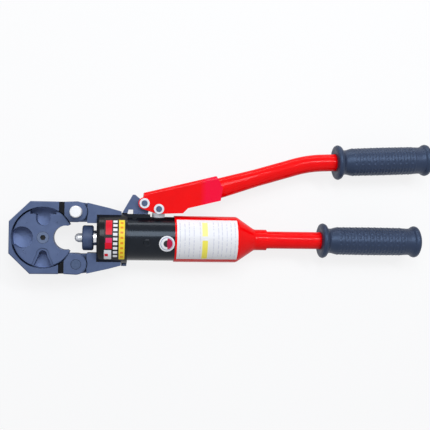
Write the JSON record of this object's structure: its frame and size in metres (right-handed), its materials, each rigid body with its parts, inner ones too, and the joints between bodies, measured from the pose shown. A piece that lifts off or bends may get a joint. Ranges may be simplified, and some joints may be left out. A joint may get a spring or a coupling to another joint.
{
  "type": "hydraulic crimping tool",
  "caption": "Two-handled hydraulic crimping tool with a hinged C-shaped head, a turning die disc, an indent punch on a ram, and a lever pump in a round body.",
  "frame": {"origin": "centre of the round crimping nest in use, in the middle of the head's thickness", "axes": "+X along the tool from the head to the grips, +Y towards the moving handle, +Z out of the face with the labels"},
  "size_m": [0.5378, 0.1733, 0.0715],
  "materials": {
    "steel_blue_paint": "satin blue-grey paint",
    "black_paint": "gloss black paint",
    "red_paint": "gloss red paint",
    "grip_rubber": "moulded rubber, satin",
    "bright_steel": "ground and polished",
    "dark_steel": "blackened",
    "zinc_plate": "zinc plated",
    "spring_steel": "drawn wire",
    "valve_brass": "turned",
    "seal_rubber": "smooth",
    "label_black": "printed film",
    "label_white": "printed film",
    "badge_film": "printed film"
  },
  "bodies": {
    "tool_body": {"yoke": "steel_blue_paint", "rod_wiper": "seal_rubber", "lock_screw": "dark_steel", "hinge_pin": "dark_steel", "pump_barrel": "black_paint", "discharge_ball": "bright_steel", "discharge_retainer": "valve_brass", "discharge_spring": "spring_steel", "suction_ball": "bright_steel", "suction_seat": "valve_brass", "suction_spring": "spring_steel", "relief_cap": "dark_steel", "relief_ball": "bright_steel", "relief_spring": "spring_steel", "release_ball": "bright_steel", "gland_nut": "zinc_plate", "plunger_seal": "seal_rubber", "handle_lug": "steel_blue_paint", "lug_welds": "steel_blue_paint", "pivot_pin": "dark_steel", "pivot_washers": "zinc_plate", "pivot_spacers": "zinc_plate", "fixed_grip": "grip_rubber", "fixed_tube": "red_paint", "reservoir_sleeve": "red_paint", "sleeve_screws": "dark_steel", "oil_bladder": "seal_rubber", "bladder_clamp": "zinc_plate", "filler_plug": "valve_brass", "boss_label": "label_black", "sleeve_label": "label_white", "badge": "badge_film", "return_spring": "spring_steel"},
    "jaw": {"jaw_frame": "steel_blue_paint", "disc_screw": "dark_steel", "detent_ball": "bright_steel", "detent_spring": "spring_steel"},
    "disc": {"die_disc": "steel_blue_paint"},
    "latch": {"latch_pin": "bright_steel"},
    "ram": {"ram_head": "dark_steel", "punch": "bright_steel", "piston": "bright_steel", "piston_seal": "seal_rubber"},
    "handle": {"handle_bracket": "red_paint", "moving_tube": "red_paint", "moving_grip": "grip_rubber", "link_pin": "dark_steel", "link_washers": "zinc_plate"},
    "plunger": {"plunger": "bright_steel"},
    "release": {"release_valve": "dark_steel"}
  },
  "joints": [
    {"name": "handle_pivot", "type": "hinge", "parent": "tool_body", "child": "handle", "pos_m": [0.0951, 0.044, 0], "axis": [0, 0, 1], "range_deg": [-2.5, 36]},
    {"name": "plunger_slide", "type": "slide", "parent": "tool_body", "child": "plunger", "axis": [0, 1, 0], "range_m": [-0.001, 0.0125]},
    {"name": "ram_slide", "type": "slide", "parent": "tool_body", "child": "ram", "axis": [-1, 0, 0], "range_m": [0, 0.014], "stiffness_N_per_m": 1500, "springref_m": -0.01, "deforming": ["return_spring"]},
    {"name": "jaw_swing", "type": "hinge", "parent": "tool_body", "child": "jaw", "pos_m": [0.0131, -0.032, 0], "axis": [0, 0, 1], "range_deg": [0, 90]},
    {"name": "disc_turn", "type": "hinge", "parent": "jaw", "child": "disc", "pos_m": [-0.0269, 0, 0], "axis": [0, 0, 1], "continuous": true},
    {"name": "latch_draw", "type": "slide", "parent": "jaw", "child": "latch", "axis": [0, 0, 1], "range_m": [-0.024, 0]},
    {"name": "release_turn", "type": "hinge", "parent": "tool_body", "child": "release", "pos_m": [0.0833, 0.0264, 0], "axis": [0, 0, 1], "range_deg": [0, 90]}
  ],
  "couplings": [
    {"joint": "plunger_slide", "follows": "handle_pivot", "m_per_rad": 0.0187}
  ]
}
